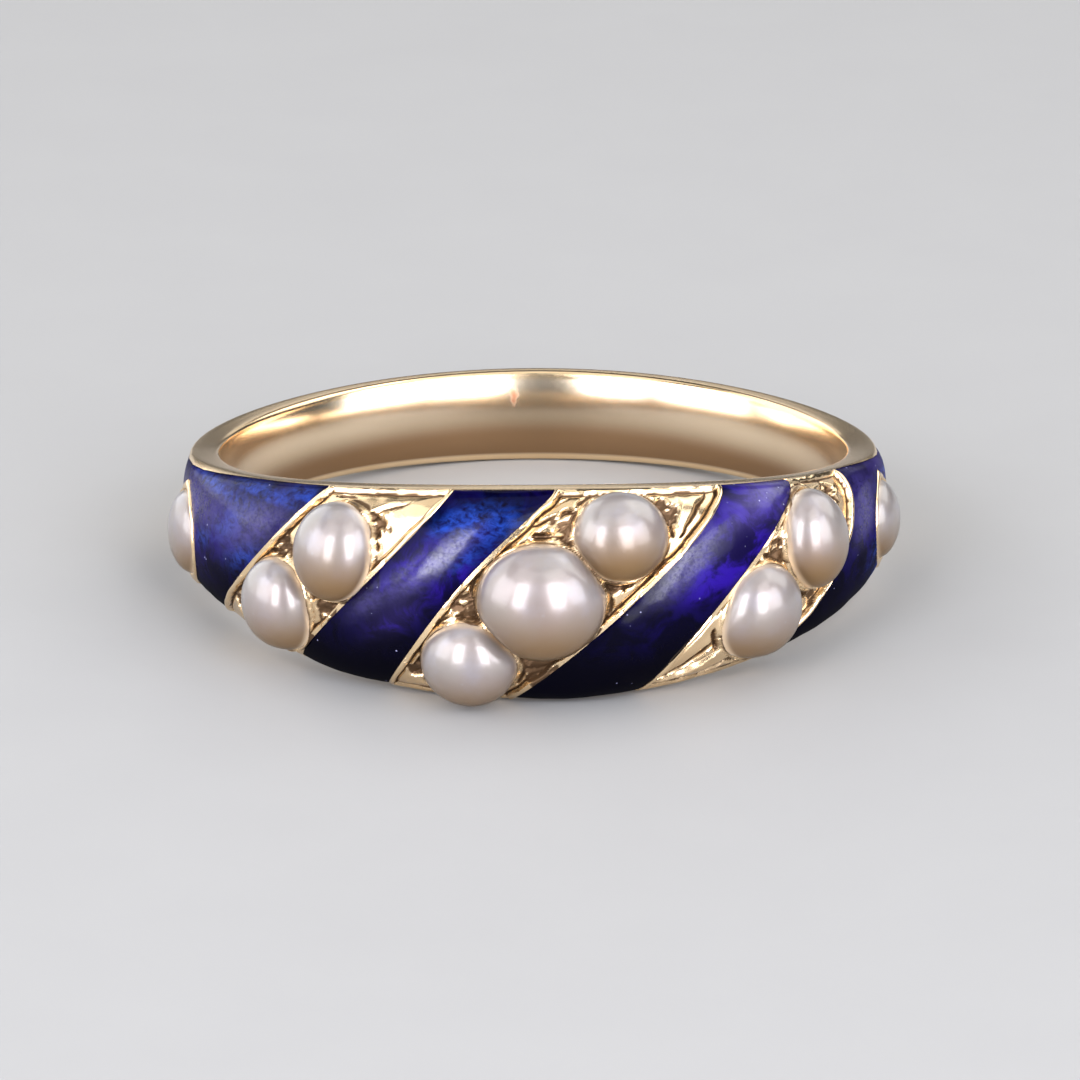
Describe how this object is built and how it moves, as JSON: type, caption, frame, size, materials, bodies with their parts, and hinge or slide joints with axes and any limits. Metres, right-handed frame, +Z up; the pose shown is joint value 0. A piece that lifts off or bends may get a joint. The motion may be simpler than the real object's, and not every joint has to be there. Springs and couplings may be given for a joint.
{
  "type": "half-pearl and enamel locket ring",
  "caption": "Tapered domed finger ring with slanting pockets of blue enamel, slanting gold fields set with half pearls, and a small glazed locket behind its front.",
  "frame": {"origin": "on the surface that the ring rests on, under the middle of the ring's box", "axes": "+Z up from the resting surface, -Y towards the jewelled front, +X to the right as seen from the front; the bore leans back by the ring's own taper"},
  "size_m": [0.0203, 0.0216, 0.006],
  "materials": {
    "gold": "polished yellow gold, bright-cut round the pearls",
    "enamel": "glossy translucent royal blue over engraved gold",
    "pearl": "lustrous cream nacre",
    "glass": "clear and polished"
  },
  "bodies": {
    "root": {"band": "gold", "locket_glass": "glass", "enamel_left_panel": "enamel", "enamel_left_stripe": "enamel", "enamel_right_stripe": "enamel", "enamel_right_panel": "enamel", "pearl_middle": "pearl", "pearl_middle_top": "pearl", "pearl_middle_bottom": "pearl", "pearl_left_top": "pearl", "pearl_left_bottom": "pearl", "pearl_right_top": "pearl", "pearl_right_bottom": "pearl", "pearl_far_left": "pearl", "pearl_far_right": "pearl"}
  },
  "joints": []
}
